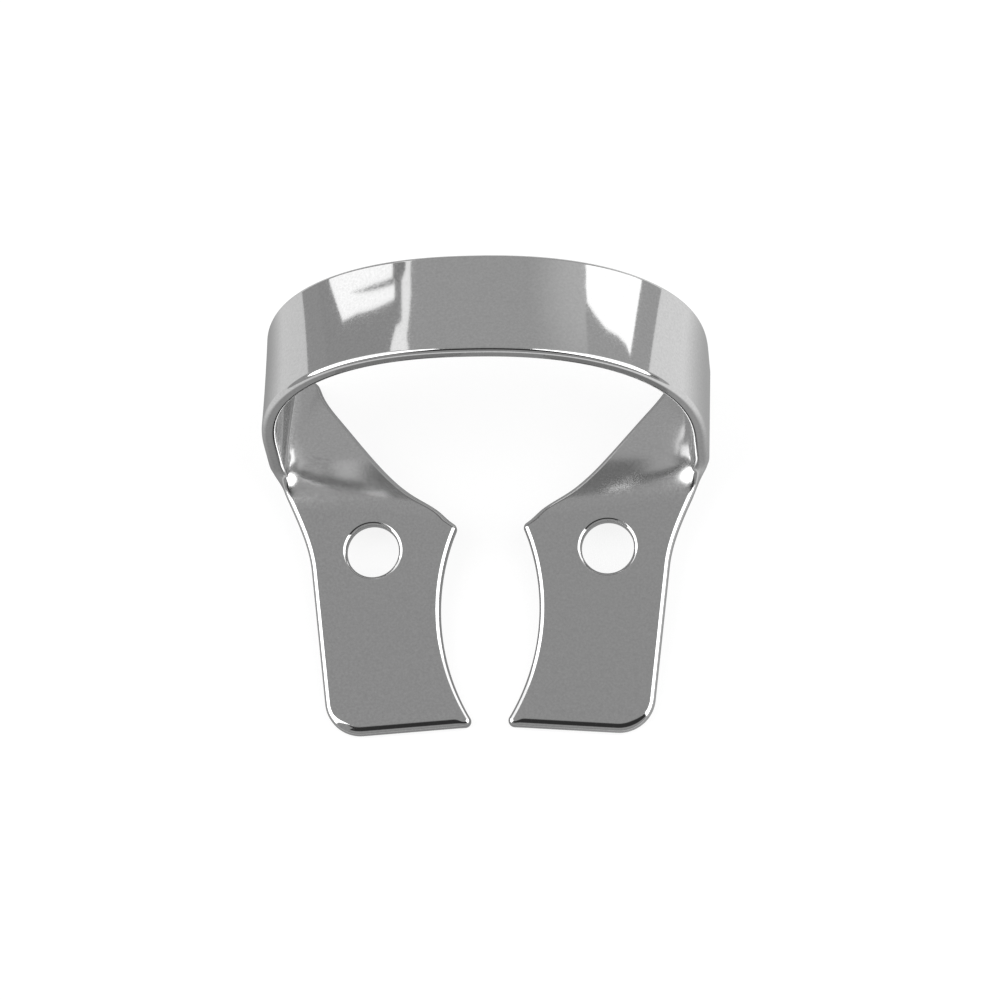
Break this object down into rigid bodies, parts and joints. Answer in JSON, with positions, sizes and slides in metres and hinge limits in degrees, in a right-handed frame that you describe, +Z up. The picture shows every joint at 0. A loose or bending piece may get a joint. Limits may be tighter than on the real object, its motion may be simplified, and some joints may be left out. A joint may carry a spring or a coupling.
{
  "type": "rubber dam clamp",
  "caption": "Wingless rubber dam clamp for a molar: one bent strip of polished spring steel with a leaning bow and two flat jaws, each with a hollowed gripping edge and a round forceps hole.",
  "frame": {"origin": "centre of the bounding box, on the floor that the heels and the jaws' front edges rest on", "axes": "+X across the jaws, to the right as seen from the jaws' side; +Y from the jaws towards the bow; +Z up, towards the crown of the bow"},
  "size_m": [0.022, 0.0204, 0.0139],
  "materials": {
    "clamp": "mirror-polished stainless spring steel"
  },
  "bodies": {
    "root": {"clamp": "clamp"}
  },
  "joints": []
}
